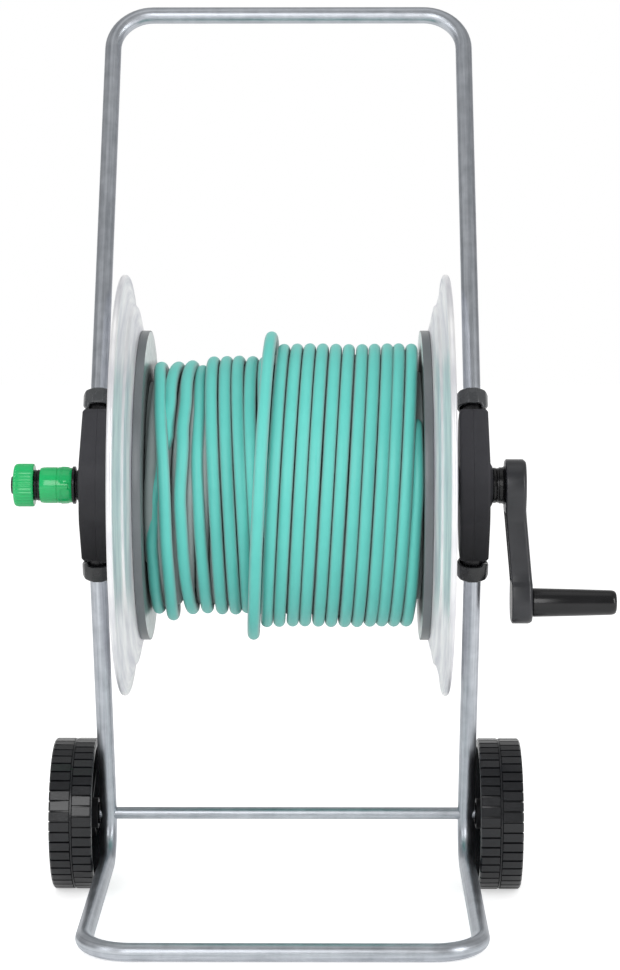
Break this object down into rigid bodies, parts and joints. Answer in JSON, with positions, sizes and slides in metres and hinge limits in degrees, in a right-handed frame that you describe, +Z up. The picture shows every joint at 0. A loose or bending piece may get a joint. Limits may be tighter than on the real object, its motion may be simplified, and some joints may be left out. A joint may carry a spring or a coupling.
{
  "type": "hose reel cart",
  "caption": "Bent steel tube cart on wheels with a hand-cranked garden hose reel, wound hose and a push-fit water inlet.",
  "frame": {"origin": "on the ground under the middle of the foot bar", "axes": "+Z up, +Y from the foot bar back towards the handle, +X towards the crank"},
  "size_m": [0.5766, 0.4365, 0.8809],
  "materials": {
    "zinc_tube": "bright zinc plating on drawn tube",
    "flange_sheet": "bright galvanised sheet with pressed rings",
    "plain_steel": "zinc-plated screws, pins, washers and caps",
    "bracket_plastic": "moulded matte black polypropylene",
    "wheel_plastic": "moulded dark plastic, slightly dusty",
    "grip_plastic": "smooth black plastic",
    "drum_plastic": "moulded grey plastic",
    "connector_green": "bright green moulded plastic",
    "seal_rubber": "black sealing rubber",
    "hose_skin": "sea-green flexible hose, satin",
    "hose_below": "the same hose in the shade of the layer above"
  },
  "bodies": {
    "chassis": {"handle_tube": "zinc_tube", "base_tube": "zinc_tube", "left_bracket_outer": "bracket_plastic", "left_bracket_inner": "bracket_plastic", "right_bracket_outer": "bracket_plastic", "right_bracket_inner": "bracket_plastic", "left_collar_upper": "bracket_plastic", "left_collar_lower": "bracket_plastic", "right_collar_upper": "bracket_plastic", "right_collar_lower": "bracket_plastic", "left_clamp_screw_upper": "plain_steel", "left_clamp_screw_lower": "plain_steel", "right_clamp_screw_upper": "plain_steel", "right_clamp_screw_lower": "plain_steel", "inlet_spigot": "bracket_plastic", "swivel_seal": "seal_rubber", "nipple_seal": "seal_rubber", "crank_bush": "bracket_plastic", "axle_rod": "zinc_tube", "left_wheel_washer": "plain_steel", "right_wheel_washer": "plain_steel", "left_axle_cap": "plain_steel", "right_axle_cap": "plain_steel"},
    "reel": {"drum_barrel": "drum_plastic", "left_drum_disc": "drum_plastic", "right_drum_disc": "drum_plastic", "left_flange": "flange_sheet", "right_flange": "flange_sheet", "left_hub": "bracket_plastic", "right_hub": "bracket_plastic", "left_hub_screw_1": "plain_steel", "left_hub_screw_2": "plain_steel", "left_hub_screw_3": "plain_steel", "right_hub_screw_1": "plain_steel", "right_hub_screw_2": "plain_steel", "right_hub_screw_3": "plain_steel", "left_thrust_washer": "plain_steel", "right_thrust_washer": "plain_steel", "outlet_elbow": "bracket_plastic", "hose_core": "hose_below", "hose_winding": "hose_skin", "crank_shaft": "plain_steel", "cross_pin": "plain_steel", "crank_arm": "bracket_plastic", "crank_screw": "plain_steel", "grip_pin": "plain_steel"},
    "grip": {"grip": "grip_plastic"},
    "left_wheel": {"left_wheel": "wheel_plastic"},
    "right_wheel": {"right_wheel": "wheel_plastic"},
    "connector": {"connector_core": "bracket_plastic"},
    "sleeve": {"release_sleeve": "connector_green"},
    "nut": {"hose_nut": "connector_green"}
  },
  "joints": [
    {"name": "reel_turn", "type": "hinge", "parent": "chassis", "child": "reel", "pos_m": [0, 0.216, 0.406], "axis": [1, 0, 0], "continuous": true},
    {"name": "grip_turn", "type": "hinge", "parent": "reel", "child": "grip", "pos_m": [0.275, 0.216, 0.294], "axis": [1, 0, 0], "continuous": true},
    {"name": "left_wheel_turn", "type": "hinge", "parent": "chassis", "child": "left_wheel", "pos_m": [-0.21, 0.30229, 0.0742], "axis": [1, 0, 0], "continuous": true},
    {"name": "right_wheel_turn", "type": "hinge", "parent": "chassis", "child": "right_wheel", "pos_m": [0.21, 0.30229, 0.0742], "axis": [1, 0, 0], "continuous": true},
    {"name": "connector_turn", "type": "hinge", "parent": "chassis", "child": "connector", "pos_m": [-0.22, 0.216, 0.406], "axis": [1, 0, 0], "continuous": true},
    {"name": "sleeve_slide", "type": "slide", "parent": "connector", "child": "sleeve", "axis": [-1, 0, 0], "range_m": [0, 0.004], "stiffness_N_per_m": 800, "springref_m": -0.003},
    {"name": "nut_turn", "type": "hinge", "parent": "connector", "child": "nut", "pos_m": [-0.249, 0.216, 0.406], "axis": [1, 0, 0], "range_deg": [0, 720]}
  ]
}
